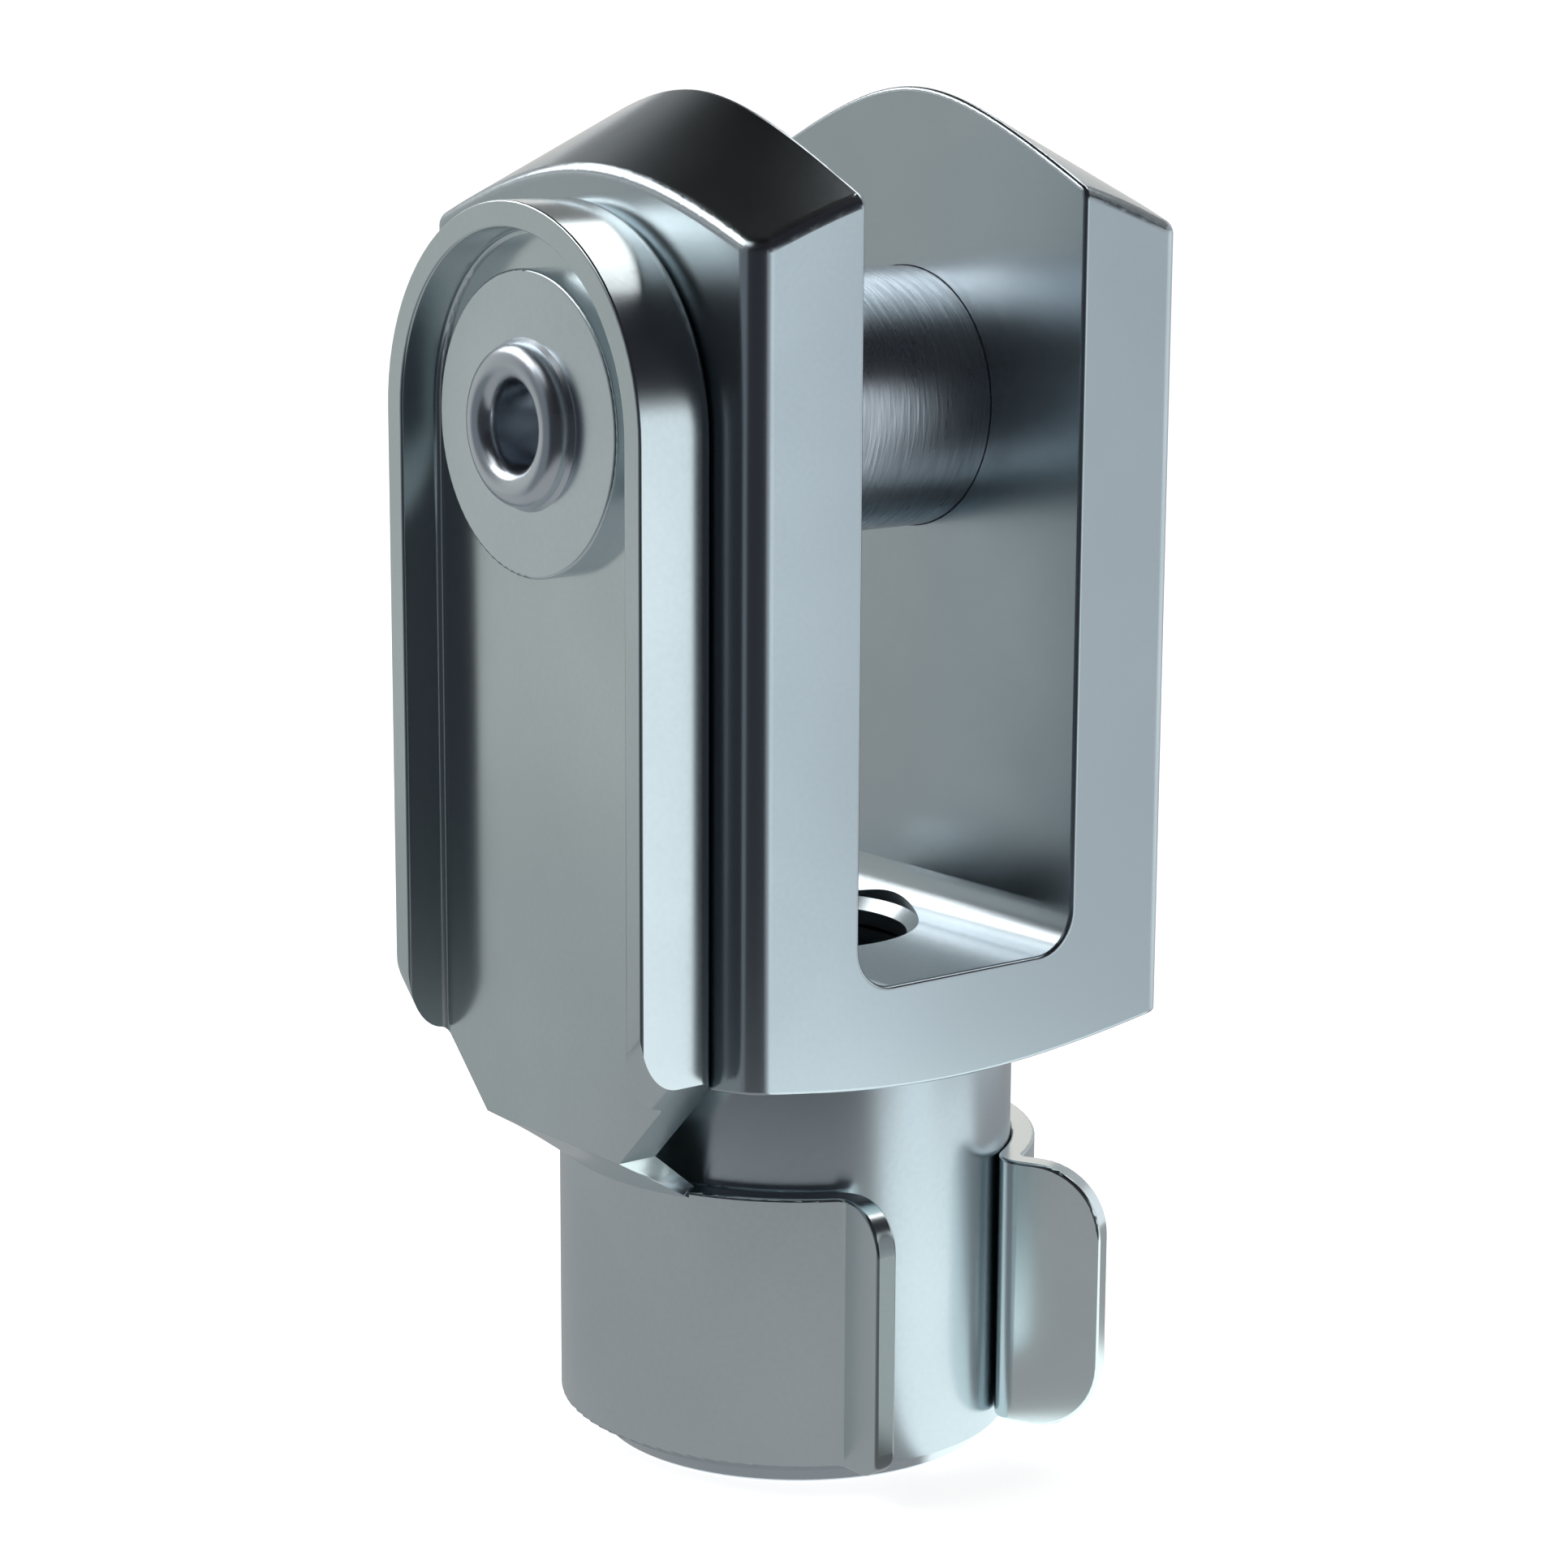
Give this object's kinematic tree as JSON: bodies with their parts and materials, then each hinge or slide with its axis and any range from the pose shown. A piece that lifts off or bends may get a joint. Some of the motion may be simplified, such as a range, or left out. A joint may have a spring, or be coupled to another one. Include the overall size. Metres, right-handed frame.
{
  "type": "clevis rod end",
  "caption": "Square fork head on a round, internally threaded neck, with a cross pin held by a riveted spring clip that clamps round the neck.",
  "frame": {"origin": "on the thread's axis at the neck's end face, where the rod goes in", "axes": "+Z along the thread's axis from the neck to the fork, +X along the pin with the clip's plate on the -X side, -Y is the side where the clip's clamp is open"},
  "size_m": [0.0293, 0.026, 0.0621],
  "materials": {
    "plated_fork": "satin zinc plating",
    "plated_pin": "turned, zinc plated",
    "plated_washer": "satin zinc plating",
    "plated_spring_sheet": "smooth zinc plating"
  },
  "bodies": {
    "fork": {"fork_head": "plated_fork"},
    "clip": {"clevis_pin": "plated_pin", "rivet_washer": "plated_washer", "spring_clip": "plated_spring_sheet"}
  },
  "joints": [
    {"name": "clip_swing", "type": "hinge", "parent": "fork", "child": "clip", "pos_m": [0, 0, 0.048], "axis": [1, 0, 0], "range_deg": [0, 325], "deforming": ["spring_clip"]}
  ]
}
